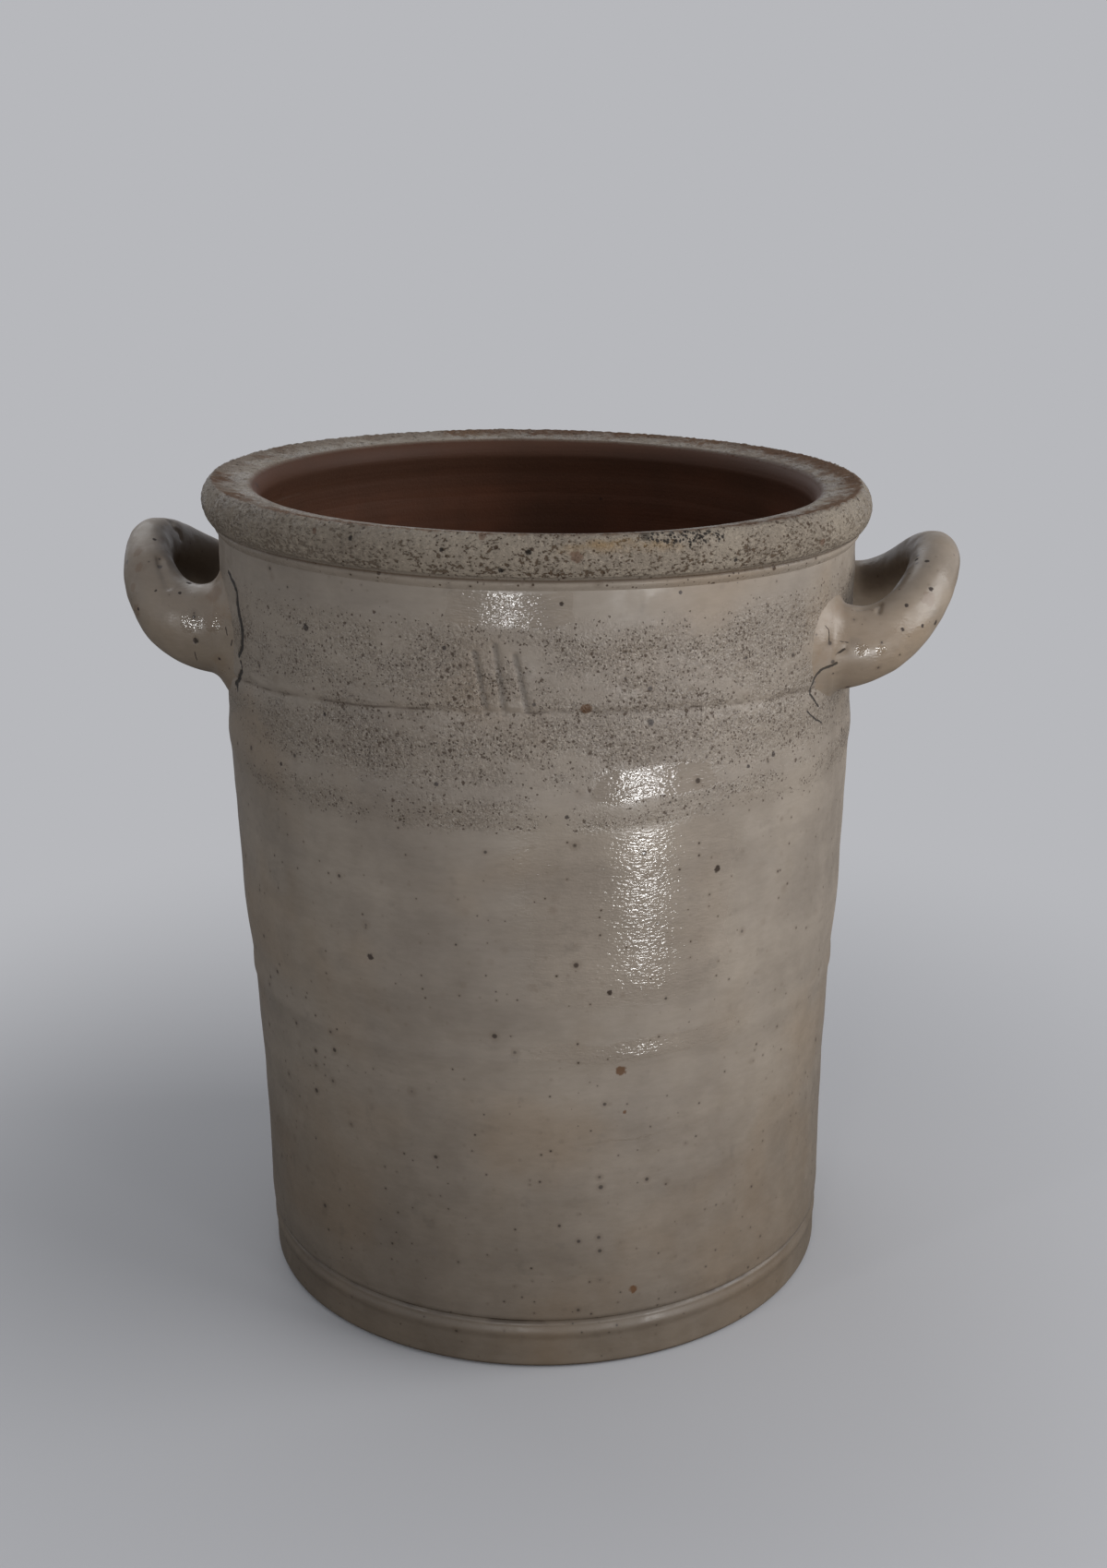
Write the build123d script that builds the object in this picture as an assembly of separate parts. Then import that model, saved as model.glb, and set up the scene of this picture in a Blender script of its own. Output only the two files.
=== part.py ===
from build123d import *
import os
from dataclasses import dataclass
from math import cos, pi, sin

# A tall salt-glazed stoneware storage crock, about 37 cm high, with a rolled collar round
# its mouth and two pulled ear handles under it. It has no lid.
#
# The clay parts are the ones a potter joins before firing:
#   floor_slab    the beaten floor disc, whose edge shows outside as a beaded foot band
#   thrown_wall   the wall raised on that disc, nearly upright below and widening upwards
#   rim_collar    the thick collar on the wall's top edge, with an undercut below it
#   left_handle   an ear handle, drawn out at both roots and luted to the wall
#   right_handle  its fellow on the other side, a little slimmer and wider
#
# Origin: centre of the flat underside. +Z is up, and the two handles stand out along X.
# The crock stands square, but its mouth sagged in the kiln: the collar and the handles
# share one plane that drops towards +X. All sizes are in millimetres.

os.makedirs("parts", exist_ok=True)

# The crock as a whole
crock_height = 367.0  # underside to the collar's top edge, on the axis
mouth_sag = 1.2  # degrees that the mouth's plane drops towards +X

# The floor slab and its foot band
slab_radius = 131.6
slab_thickness = 23.0
foot_edge_round = 2.6  # the worn lower edge
bead_width = 6.0  # up the band
bead_proud = 1.0
seam_depth = 1.8  # the groove between the foot band and the wall
seam_lip = 1.6  # half of the groove's width, at its mouth

# The wall, outside
lower_swell = 0.6  # the wall starts this much outside the slab
lower_height = 58.0  # upright from the seam up to here
shoulder_radius = 139.4  # upright again from here up to the collar
shoulder_height = 272.0

# The wall's thickness, and the cove where it meets the floor inside
wall_at_floor = 17.0
wall_at_shoulder = 13.6
cove_radius = 9.0
cove_toe = 1.5  # thickness of the cove's edge on the floor

# The collar
collar_height = 23.0
collar_proud = 6.8  # at its widest, outside the wall
collar_widest_height = 14.0  # over the collar's seat
crest_inset = 4.6  # from the widest in to the crest, where the outside turns over into the top
undercut_height = 5.4  # the hollow under the collar
undercut_proud = 3.2  # outside the wall
funnel_drop = 2.6  # the top falls inwards
lip_crest_setback = 1.2  # from the wall's inner face out to where the top turns down
mouth_overhang = 4.6  # of the narrowest place, inside the wall's inner face
mouth_height = 12.5  # of the narrowest place, over the collar's seat

# The handles are pulled by hand, and each has its own sizes. The left ear is the thicker one.
left_below_seat = 41.2  # the roots' centres, below the collar's seat
left_half_span = 42.0  # from the ear's middle to the centre of a root
left_reach = 42.0  # from the roots out to the middle of the grip
left_rise = 25.0  # from the roots up to the middle of the grip
left_grip_height = 29.2
left_root_height = 44.0
left_root_width = 39.0

right_below_seat = 38.0
right_half_span = 49.0
right_reach = 43.8
right_rise = 29.2
right_grip_height = 23.0
right_root_height = 41.0
right_root_width = 33.0

# Both ears share the rest
grip_depth = 22.8
reach_power = 0.7  # under 1: the ear leaves the wall squarely and is blunt at the grip
rise_power = 1.9  # over 1: it climbs late, on the way round to the grip
flare_power = 0.5  # under 1: most of a root's extra size is gone close to the wall
root_bury = 14.0  # how far the roots are drawn on behind the wall's face before trimming
station_count = 9  # sections along an ear

# One overrun for every cut
overrun = 20.0

mm3_per_cm3 = 1000


@dataclass
class Ear:
    """The sizes of one handle, and the side of the crock that it stands on."""

    side_angle: float
    below_seat: float
    half_span: float
    reach: float
    rise: float
    grip_height: float
    root_height: float
    root_width: float


left_ear = Ear(
    side_angle=180,
    below_seat=left_below_seat,
    half_span=left_half_span,
    reach=left_reach,
    rise=left_rise,
    grip_height=left_grip_height,
    root_height=left_root_height,
    root_width=left_root_width,
)
right_ear = Ear(
    side_angle=0,
    below_seat=right_below_seat,
    half_span=right_half_span,
    reach=right_reach,
    rise=right_rise,
    grip_height=right_grip_height,
    root_height=right_root_height,
    root_width=right_root_width,
)


def revolved(outline):
    """The solid swept by a closed half outline in the XZ plane, turned about Z."""
    return revolve(make_face(outline), Axis.Z)


# The collar's seat is the plane on which the wall ends. The handles hang from it.
seat_height = crock_height - collar_height
seat = Location((0, 0, seat_height), (0, mouth_sag, 0))

# The wall's foot follows the slab, and the collar follows the wall
lower_radius = slab_radius + lower_swell
shoulder_inside = shoulder_radius - wall_at_shoulder
collar_radius = shoulder_radius + collar_proud
crest_radius = collar_radius - crest_inset
undercut_radius = shoulder_radius + undercut_proud
lip_crest_radius = shoulder_inside + lip_crest_setback
mouth_radius = shoulder_inside - mouth_overhang


def long_s(start, end):
    """Two equal arcs that leave the start upright, meet halfway and reach the end upright."""
    middle = ((start[0] + end[0]) / 2, 0, (start[2] + end[2]) / 2)
    way = (0, 0, end[2] - start[2])
    back = (0, 0, start[2] - end[2])
    return [TangentArc(start, middle, tangent=way), TangentArc(end, middle, tangent=back)]


def make_floor_slab():
    bead_start = slab_thickness - seam_lip - bead_width
    seam_radius = slab_radius - seam_depth
    points = {
        "centre_below": (0, 0, 0),
        "edge_below": (slab_radius - foot_edge_round, 0, 0),
        "edge_side": (slab_radius, 0, foot_edge_round),
        "bead_low": (slab_radius, 0, bead_start),
        "bead_crown": (slab_radius + bead_proud, 0, bead_start + bead_width / 2),
        "bead_high": (slab_radius, 0, bead_start + bead_width),
        "seam": (seam_radius, 0, slab_thickness),
        "centre_above": (0, 0, slab_thickness),
    }
    outline = [
        Line(points["centre_below"], points["edge_below"]),
        TangentArc(points["edge_below"], points["edge_side"], tangent=(1, 0, 0)),
        Line(points["edge_side"], points["bead_low"]),
        ThreePointArc(points["bead_low"], points["bead_crown"], points["bead_high"]),
        Line(points["bead_high"], points["seam"]),
        Line(points["seam"], points["centre_above"]),
        Line(points["centre_above"], points["centre_below"]),
    ]
    return revolved(outline)


def wall_outside(top):
    """The wall's outer line from the seam up to the given height, as edges and end points."""
    seam = (slab_radius - seam_depth, 0, slab_thickness)
    seam_mouth = (lower_radius, 0, slab_thickness + seam_lip)
    lower = (lower_radius, 0, lower_height)
    shoulder = (shoulder_radius, 0, shoulder_height)
    end = (shoulder_radius, 0, top)
    edges = [
        Line(seam, seam_mouth),
        Line(seam_mouth, lower),
        *long_s(lower, shoulder),
        Line(shoulder, end),
    ]
    return edges, seam, end


def make_thrown_wall():
    """The wall, thickest at the floor, with its top cut off along the collar's seat."""
    top = seat_height + overrun
    outside, seam, outside_end = wall_outside(top)
    floor_inside = lower_radius - wall_at_floor
    cove_top_height = slab_thickness + cove_toe + cove_radius
    inside_end = (shoulder_inside, 0, top)
    shoulder = (shoulder_inside, 0, shoulder_height)
    cove_top = (floor_inside, 0, cove_top_height)
    toe_above = (floor_inside - cove_radius, 0, slab_thickness + cove_toe)
    toe = (floor_inside - cove_radius, 0, slab_thickness)
    inside = [
        Line(outside_end, inside_end),
        Line(inside_end, shoulder),
        *long_s(shoulder, cove_top),
        TangentArc(cove_top, toe_above, tangent=(0, 0, -1)),
        Line(toe_above, toe),
        Line(toe, seam),
    ]
    wall = revolved(outside + inside)
    return split(wall, Plane(seat), keep=Keep.BOTTOM)


def make_rim_collar():
    """The collar, drawn over its own seat and then set on the sagging plane."""
    seat_inside = (shoulder_inside, 0, 0)
    seat_outside = (shoulder_radius, 0, 0)
    undercut = (undercut_radius, 0, undercut_height)
    widest = (collar_radius, 0, collar_widest_height)
    crest = (crest_radius, 0, collar_height)
    lip_crest = (lip_crest_radius, 0, collar_height - funnel_drop)
    mouth = (mouth_radius, 0, mouth_height)
    outline = [
        Line(seat_inside, seat_outside),
        Line(seat_outside, undercut),
        TangentArc(widest, undercut, tangent=(0, 0, -1)),
        TangentArc(widest, crest, tangent=(0, 0, 1)),
        Line(crest, lip_crest),
        TangentArc(mouth, lip_crest, tangent=(0, 0, 1)),
        Line(mouth, seat_inside),
    ]
    return seat * revolved(outline)


def ear_centre(ear, turn):
    """A point of the centre line on +X. The turn runs from 0 at one root to pi at the other."""
    root_x = (shoulder_radius**2 - ear.half_span**2) ** 0.5
    out = sin(turn)
    x = root_x + ear.reach * out**reach_power
    y = -ear.half_span * cos(turn)
    z = -ear.below_seat + ear.rise * out**rise_power
    return Vector(x, y, z)


def ear_section(ear, centre, heading, turn):
    """The clay's oval section, tall and wide at a root and settling into the grip."""
    across = heading.cross(Vector(0, 0, 1)).normalized()
    root_share = 1 - sin(turn) ** flare_power
    height = ear.grip_height + (ear.root_height - ear.grip_height) * root_share
    depth = grip_depth + (ear.root_width - grip_depth) * root_share
    plane = Plane(origin=centre, x_dir=across, z_dir=heading)
    return plane * Ellipse(depth / 2, height / 2)


def make_handle(ear, wall_body):
    """An ear handle, hung from the seat's plane and trimmed to sit on the wall."""
    turns = [pi * i / (station_count - 1) for i in range(station_count)]
    centres = [ear_centre(ear, turn) for turn in turns]
    before = [centres[0]] + centres[:-1]
    after = centres[1:] + [centres[-1]]
    headings = [(b - a).normalized() for a, b in zip(before, after)]
    first_buried = centres[0] - headings[0] * root_bury
    last_buried = centres[-1] + headings[-1] * root_bury
    sections = [ear_section(ear, first_buried, headings[0], turns[0])]
    for centre, heading, turn in zip(centres, headings, turns):
        sections.append(ear_section(ear, centre, heading, turn))
    sections.append(ear_section(ear, last_buried, headings[-1], turns[-1]))
    placed = seat * (Rotation(0, 0, ear.side_angle) * loft(sections))
    return placed - wall_body


def solid_wall_body():
    """The space that the wall closes in, to trim what is luted to its outside."""
    outside, seam, end = wall_outside(seat_height + overrun)
    axis_top = (0, 0, seat_height + overrun)
    axis_foot = (0, 0, slab_thickness)
    closing = [Line(end, axis_top), Line(axis_top, axis_foot), Line(axis_foot, seam)]
    return revolved(outside + closing)


wall_body = solid_wall_body()
nodes = {
    "floor_slab": make_floor_slab(),
    "thrown_wall": make_thrown_wall(),
    "rim_collar": make_rim_collar(),
    "left_handle": make_handle(left_ear, wall_body),
    "right_handle": make_handle(right_ear, wall_body),
}

for name, shape in nodes.items():
    export_step(shape, f"parts/{name}.step")
    print(name, "solids", len(shape.solids()), "volume cm3", round(shape.volume / mm3_per_cm3, 1))
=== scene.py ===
from math import cos, pi, radians, sin, sqrt, tan

import bpy
from mathutils import Matrix, Vector, noise


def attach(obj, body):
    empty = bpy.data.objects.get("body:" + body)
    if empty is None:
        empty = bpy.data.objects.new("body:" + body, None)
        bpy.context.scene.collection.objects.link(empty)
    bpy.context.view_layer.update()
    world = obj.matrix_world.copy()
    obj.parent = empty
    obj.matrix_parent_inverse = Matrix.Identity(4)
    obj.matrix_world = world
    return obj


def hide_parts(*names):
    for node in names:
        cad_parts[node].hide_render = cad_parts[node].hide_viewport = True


# A tall salt-glazed stoneware crock, dressed over its CAD solids
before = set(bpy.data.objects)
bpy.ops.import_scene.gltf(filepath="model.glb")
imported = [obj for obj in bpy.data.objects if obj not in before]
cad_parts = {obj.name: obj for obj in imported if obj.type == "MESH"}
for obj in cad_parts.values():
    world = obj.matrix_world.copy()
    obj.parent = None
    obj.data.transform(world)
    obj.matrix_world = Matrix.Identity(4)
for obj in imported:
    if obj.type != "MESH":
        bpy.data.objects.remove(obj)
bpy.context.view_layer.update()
scene = bpy.context.scene
mm = 0.001
print("frame loaded")


class Wire:
    # a node's output, which adds, scales and so on like a number or a vector

    def __init__(self, tree, socket):
        self.tree = tree
        self.socket = socket
        self.isVector = socket.type in ("VECTOR", "RGBA")

    def __add__(self, other):
        return combined("ADD", self, other)

    def __sub__(self, other):
        return combined("SUBTRACT", self, other)

    def __rsub__(self, other):
        return combined("SUBTRACT", other, self)

    def __mul__(self, other):
        return combined("MULTIPLY", self, other)

    def __rmul__(self, other):
        return combined("MULTIPLY", other, self)

    def __truediv__(self, other):
        return combined("DIVIDE", self, other)

    def __rtruediv__(self, other):
        return combined("DIVIDE", other, self)


def treeOf(values):
    return next(value.tree for value in values if isinstance(value, Wire))


def connect(value, socket):
    # a wire is linked, and anything else becomes the socket's own value
    if isinstance(value, Wire):
        value.tree.links.new(value.socket, socket)
    else:
        socket.default_value = value


def addNode(tree, kind, values=None, **settings):
    node = tree.nodes.new(kind)
    for name, value in settings.items():
        setattr(node, name, value)
    for label, value in (values or {}).items():
        connect(value, node.inputs[label])
    return node


def made(tree, kind, values=None, output=0, **settings):
    return Wire(tree, addNode(tree, kind, values, **settings).outputs[output])


def calc(operation, *values):
    return made(treeOf(values), "ShaderNodeMath", dict(enumerate(values)), operation=operation)


def vecCalc(operation, *values):
    sockets = dict(enumerate(values))
    if operation == "SCALE":
        sockets["Scale"] = sockets.pop(1)
    output = "Value" if operation in ("LENGTH", "DISTANCE", "DOT_PRODUCT") else "Vector"
    return made(treeOf(values), "ShaderNodeVectorMath", sockets, output, operation=operation)


def combined(operation, *pair):
    vectors = [getattr(value, "isVector", isinstance(value, tuple)) for value in pair]
    if not any(vectors):
        return calc(operation, *pair)
    if operation == "MULTIPLY" and not all(vectors):
        return vecCalc("SCALE", *pair)
    return vecCalc(operation, *pair)


def largest(total, *others):
    for value in others:
        total = calc("MAXIMUM", total, value)
    return total


def fade(value, low, high, toLow=0.0, toHigh=1.0):
    # a soft step: toLow up to low, toHigh from high on
    values = {"Value": value, "From Min": low, "From Max": high, "To Min": toLow, "To Max": toHigh}
    return made(treeOf(values.values()), "ShaderNodeMapRange", values, interpolation_type="SMOOTHSTEP")


def cloud(place, scale, detail, rough, output):
    values = {"Vector": place, "Scale": scale, "Detail": detail, "Roughness": rough}
    return made(place.tree, "ShaderNodeTexNoise", values, output)


def grain(place, size, detail=2.0, rough=0.5):
    # noise from 0 to 1 whose lumps are about this size
    return cloud(place, 1.0 / size, detail, rough, 0)


def bent(place, scale, reach, detail, rough=0.5):
    # the place moved a little, so that what is drawn on it wanders
    return place + (cloud(place, scale, detail, rough, "Color") - (0.5, 0.5, 0.5)) * reach


def mixColour(share, first, second, blend="MIX"):
    tree = treeOf((share, first, second))
    values = {0: share, 6: first, 7: second}
    return made(tree, "ShaderNodeMix", values, 2, data_type="RGBA", blend_type=blend)


def lay(colour, mask, paint, strength=1.0):
    return mixColour(mask * strength, colour, paint)


def srgb(red, green, blue):
    # a colour as read off a screen, made linear
    parts = [value / 255 for value in (red, green, blue)]
    return (*[p / 12.92 if p <= 0.04045 else ((p + 0.055) / 1.055) ** 2.4 for p in parts], 1.0)


def axis(place, letter):
    return made(place.tree, "ShaderNodeSeparateXYZ", {"Vector": place}, letter)


def fromAxis(place):
    return vecCalc("LENGTH", place * (1, 1, 0))


def towards(place, bearing, radius=0.139):
    # 1 on the wall at this bearing in degrees, and less beside it
    turn = radians(bearing)
    return vecCalc("DOT_PRODUCT", place, (cos(turn) / radius, sin(turn) / radius, 0))


def bandMask(height, low, high, soft):
    # 1 between two heights, fading out over the soft width at both
    return fade(height, low - soft, low) * fade(height, high, high + soft, 1.0, 0.0)


def makeGroup(name, kind, inputs, label, outputType, build):
    # each input has its default, or the type of a socket that has none
    tree = bpy.data.node_groups.new(name, kind)
    for title, value in inputs.items():
        bare = isinstance(value, str)
        socketType = value if bare else "NodeSocketInt" if isinstance(value, int) else "NodeSocketFloat"
        socket = tree.interface.new_socket(title, in_out="INPUT", socket_type=socketType)
        if not bare:
            socket.default_value = value
    tree.interface.new_socket(label, in_out="OUTPUT", socket_type=outputType)
    given = tree.nodes.new("NodeGroupInput").outputs
    result = build({title: Wire(tree, given[title]) for title in inputs})
    connect(result, tree.nodes.new("NodeGroupOutput").inputs[0])
    return tree


def shaderGroup(name, inputs, label, build):
    inputs = {"Vector": "NodeSocketVector", **inputs}
    return makeGroup(
        name, "ShaderNodeTree", inputs, label, "NodeSocketFloat", lambda given: build(*given.values())
    )


def grouped(group, place, **values):
    return made(place.tree, "ShaderNodeGroup", {"Vector": place, **values}, node_tree=group)


# where the wall was left dry and sandy, and the line where two lifts of clay meet: the same
# nodes shape the clay and tint its glaze
dryClay = {
    "high": (0.276, 0.322, 0.016),  # lowest and highest full height, and the width they fade over
    "low": (0.252, 0.259, 0.007),
    "patch": 0.036,  # size of the patches
    "swirl": (22.0, 0.025, 2.0),  # scale, reach and detail of what bends them
    "bearing": -65,  # the side on which most are
    "lean": 0.12,  # and how strongly
}
liftLine = {"height": 0.2975, "bow": 0.5, "wobble": 2.6 * mm}


def dryMask(place):
    height = axis(place, "Z")
    patches = grain(bent(place, *dryClay["swirl"]) * (1, 1, 3.0), dryClay["patch"], 4.0, 0.62)
    patches = patches + towards(place, dryClay["bearing"]) * dryClay["lean"]
    high = bandMask(height, *dryClay["high"]) * fade(patches, 0.38, 0.72)
    low = bandMask(height, *dryClay["low"]) * fade(patches, 0.4, 0.8)
    return largest(high, low)


def overLine(place):
    # height over the line, in metres
    across = axis(place, "X")
    bow = across * across * liftLine["bow"]
    wobble = (grain(place * (1, 1, 0.3), 0.017, 2.0) - 0.5) * liftLine["wobble"]
    return axis(place, "Z") - (liftLine["height"] - bow + wobble)


# camera
cameraView = {
    "position": (93.5 * mm, -853.7 * mm, 501.1 * mm),
    "heading": 5.85,  # degrees, from +Y towards -X
    "pitch": 17.92,  # degrees down
    "roll": -0.53,
    "lens": 44.86,
}


def makeCamera():
    data = bpy.data.cameras.new("camera")
    data.sensor_fit = "VERTICAL"
    data.sensor_height = 36
    data.lens = cameraView["lens"]
    data.clip_start = 0.01
    camera = bpy.data.objects.new("camera", data)
    scene.collection.objects.link(camera)
    heading = Matrix.Rotation(radians(cameraView["heading"]), 4, "Z")
    pitch = Matrix.Rotation(radians(90 - cameraView["pitch"]), 4, "X")
    roll = Matrix.Rotation(radians(cameraView["roll"]), 4, "Z")
    camera.matrix_world = Matrix.Translation(cameraView["position"]) @ heading @ pitch @ roll
    scene.camera = camera


makeCamera()
print("camera set")


# shader groups that the finishes share
def spotMaskNodes(place, centre, radius, ragged):
    # a round patch with a ragged edge
    lumps = (grain(place, radius * 0.8) - 0.5) * ragged
    edge = vecCalc("DISTANCE", place, centre) / radius + lumps * 3.0
    return fade(edge, 0.7, 1.15, 1.0, 0.0)


def strokeMaskNodes(place, start, end, width):
    # a thin ragged line from one point to another
    there = bent(place, 300.0, 1.2 * mm, 4.0, 0.6) - start
    along = end - start
    share = vecCalc("DOT_PRODUCT", there, along) / vecCalc("DOT_PRODUCT", along, along)
    share = made(place.tree, "ShaderNodeClamp", {"Value": share})
    away = vecCalc("DISTANCE", there, along * share) / width
    return fade(away, 0.3, 0.7, 1.0, 0.0)


def frecklesNodes(place, spacing, size, share):
    # round spots of mixed size, each in its own cell
    tree = place.tree
    values = {"Vector": place, "Scale": 1.0 / spacing, "Randomness": 1.0}
    cells = addNode(tree, "ShaderNodeTexVoronoi", values)
    away = Wire(tree, cells.outputs["Distance"]) * spacing
    cellColour = {"Color": Wire(tree, cells.outputs["Color"])}
    chosen = calc("LESS_THAN", made(tree, "ShaderNodeSeparateColor", cellColour, 0), share)
    radius = size * (made(tree, "ShaderNodeSeparateColor", cellColour, 1) * 1.1 + 0.25)
    return fade(away / radius, 0.6, 1.2, 1.0, 0.0) * chosen


def orangePeelNodes(place, size):
    # the dimpled skin of salt glaze, as a height from 0 to 1
    values = {"Vector": place, "Scale": 1.0 / size, "Smoothness": 0.6}
    cells = made(place.tree, "ShaderNodeTexVoronoi", values, "Distance", feature="SMOOTH_F1")
    return (1.0 - cells) * 0.55 + grain(place, size * 1.7, 3.0, 0.55) * 0.9


def throwRingsNodes(place, pitch):
    # fine lines that fingers leave round the wall, as a height from 0 to 1
    flat = place * (0.02, 0.02, 1.0)
    return grain(flat, pitch * 3.0, 2.0, 0.6) * 0.6 + grain(flat, pitch, 2.0, 0.6) * 0.4


def cloudToneNodes(place):
    # slow changes of tone in the fired clay, from 0 to 1
    wide = grain(place * (1, 1, 0.7), 0.06, 4.0, 0.6)
    bands = grain(place * (0.12, 0.12, 1.0), 0.02, 3.0, 0.6)
    return fade(wide * 0.65 + bands * 0.35, 0.32, 0.68)


vector = "NodeSocketVector"
spotInputs = {"Centre": vector, "Radius": 1 * mm, "Ragged": 0.4}
strokeInputs = {"From": vector, "To": vector, "Width": 1 * mm}
freckleInputs = {"Spacing": 10 * mm, "Size": 0.8 * mm, "Share": 0.5}
spotMask = shaderGroup("spotMask", spotInputs, "Mask", spotMaskNodes)
strokeMask = shaderGroup("strokeMask", strokeInputs, "Mask", strokeMaskNodes)
freckles = shaderGroup("freckles", freckleInputs, "Mask", frecklesNodes)
orangePeel = shaderGroup("orangePeel", {"Size": 1.6 * mm}, "Height", orangePeelNodes)
throwRings = shaderGroup("throwRings", {"Pitch": 2.4 * mm}, "Height", throwRingsNodes)
cloudTone = shaderGroup("cloudTone", {}, "Tone", cloudToneNodes)


def newMaterial(name):
    material = bpy.data.materials.new(name)
    material.use_nodes = True
    tree = material.node_tree
    tree.nodes.clear()
    shader = tree.nodes.new("ShaderNodeBsdfPrincipled")
    output = tree.nodes.new("ShaderNodeOutputMaterial")
    tree.links.new(shader.outputs[0], output.inputs[0])
    return material, shader, made(tree, "ShaderNodeTexCoord", output="Object")


def setShader(shader, colour, relief, roughness):
    # relief is the height of the skin in metres
    bump = made(colour.tree, "ShaderNodeBump", {"Height": relief, "Distance": 1.0, "Strength": 1.0})
    connect(colour, shader.inputs["Base Color"])
    connect(bump, shader.inputs["Normal"])
    connect(roughness, shader.inputs["Roughness"])


# the wall's sizes, in mm and degrees
wallSize = {
    "seamRadius": 129.8,
    "seamHeight": 23.0,
    "lipRadius": 132.2,
    "lipHeight": 24.6,
    "lowerHeight": 58.0,
    "shoulderRadius": 139.4,
    "shoulderHeight": 272.0,
    "seatHeight": 344.0,
    "insideAtFloor": 115.2,
    "insideAtShoulder": 125.8,
    "coveRadius": 9.0,
    "coveToe": 1.5,
    "sagDegrees": 1.2,
}
wallFace = wallSize["shoulderRadius"] * mm
sagSlope = tan(radians(wallSize["sagDegrees"]))


def onWall(bearing, height, radius):
    # a point on the crock from its bearing in degrees, its height and its radius in mm
    turn = radians(bearing)
    return (radius * cos(turn) * mm, radius * sin(turn) * mm, height * mm)


def unrolled(place):
    # the wall laid flat: along it, then up it
    turn = calc("ARCTAN2", axis(place, "Y"), axis(place, "X"))
    return made(place.tree, "ShaderNodeCombineXYZ", {"X": turn * wallFace, "Y": axis(place, "Z")})


def onFlat(bearing, height):
    return (radians(bearing) * wallFace, height * mm, 0.0)


def inMm(x, y, z):
    return (x * mm, y * mm, z * mm)


# salt glaze on the wall, the foot and the ears
glazeLook = {
    "pale": srgb(160, 148, 135),
    "dark": srgb(137, 126, 115),
    "warm": srgb(152, 132, 110),
    "smudge": srgb(104, 96, 88),
    "streak": srgb(246, 246, 245),
    "sand": srgb(120, 106, 91),
    "crumb": srgb(178, 167, 153),
    # a brown of real grime in pits, seams and the lift line, also used as painted shade between the sand
    # grains, at the foot's bottom edge and on the ears' sides turned to the wall
    "grimeAndShade": srgb(62, 44, 29),
    "iron": srgb(42, 28, 20),
    # painted shade: the next two colours darken the lower wall and the foot
    "lowPaintedShade": srgb(202, 198, 193),
    "footPaintedShade": srgb(238, 235, 230),
    "earTint": srgb(250, 244, 236),
    "earStain": srgb(116, 92, 70),
    "earWarm": srgb(134, 112, 88),
    "rust": srgb(88, 54, 16),
    "halo": srgb(122, 108, 94),
    "crack": srgb(20, 14, 10),
    "satin": 0.52,  # roughness where the glaze is thin
    "gloss": 0.11,  # and where it is thick and dimpled
    "pitRoughness": 0.8,
    "peelSize": 1.0 * mm,
    "peelHeight": 0.09 * mm,
    "dashHeight": 0.25 * mm,
    "sandHeight": 1.1 * mm,
    "pitDepth": 0.14 * mm,
    "crackDepth": 0.8 * mm,
    "earCrackDepth": 0.5 * mm,
    "refraction": 1.6,
    "thinDimples": 0.06,  # how dimpled the wall is where its glaze is thin
    "footDimples": 0.1,
}
white = (1, 1, 1, 1)
# where the wall is dimpled and wet looking: lowest and highest full height and soft width in
# metres, strength, then its bearing and half width in degrees
glossyBands = (
    (0.182, 0.238, 0.02, 1.0, -68, 9),
    (0.263, 0.2705, 0.006, 1.0, -64.5, 4.5),
    (0.334, 0.342, 0.006, 1.0, -88.5, 4),
    (0.1485, 0.1525, 0.005, 1.0, -66, 11),
    (0.1085, 0.1095, 0.0006, 0.6, -67, 9),
    (0.0745, 0.0755, 0.0006, 0.5, -68, 7),
    (0.12, 0.2, 0.02, 1.0, 70, 30),
    (0.19, 0.25, 0.02, 1.0, 150, 24),
)
# a plain tally, cut with a stick: left end of each stroke's top, its height, how far it leans to
# the right and its length, in mm
tallyStrokes = ((-9.5, 320.5, 4.0, 24.0), (-1.5, 323.5, 3.0, 27.0), (6.0, 319.5, 4.5, 22.0))
tallyWidth = 2.2
# bearing in degrees, height in mm, radius of the spot in mm
wallSpots = (
    *((-114.5, 188.2, 1.5), (-52.9, 225.1, 1.6), (-72.4, 178.3, 1.2), (-98.8, 321.8, 0.9)),
    *((-65.8, 290.9, 1.4), (-41.1, 268.2, 1.2), (-47.1, 266.1, 0.9), (-100.7, 267.0, 1.0)),
    *((-79.6, 254.9, 0.9), (-121.7, 289.1, 0.9), (-133.4, 262.7, 1.0), (-125.1, 323.3, 1.6)),
    *((-80.2, 339.6, 0.9), (-60.9, 341.1, 0.8)),
)
rustSpots = ((-70.1, 141.4, 2.4), (-67.4, 35.9, 1.9), (-76.4, 298.1, 2.2), (-69.3, 122.0, 0.9))
# width in mm, then bearing in degrees and height in mm of each point
leftCrack = (
    (1.2, (-152.0, 335.1), (-148.8, 331.8), (-147.2, 327.2)),
    (3.4, (-147.2, 327.2), (-147.6, 322.8), (-146.8, 317.2), (-145.9, 311.6), (-146.8, 305.7)),
    (2.5, (-146.8, 305.7), (-148.9, 300.9)),
    (2.3, (-148.0, 298.0), (-147.6, 294.9), (-150.3, 289.6), (-152.0, 286.8), (-150.8, 285.0)),
)
rightCrack = (
    (0.95, (-26.5, 299.6), (-28.6, 297.3), (-30.4, 291.5), (-30.8, 288.1), (-29.7, 285.2)),
    (0.6, (-29.7, 285.2), (-27.7, 281.1)),
    (0.55, (-31.9, 281.5), (-28.7, 276.1), (-26.1, 273.2)),
    (0.3, (-27.4, 315.5), (-27.1, 313.8), (-27.6, 309.0)),
)


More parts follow.
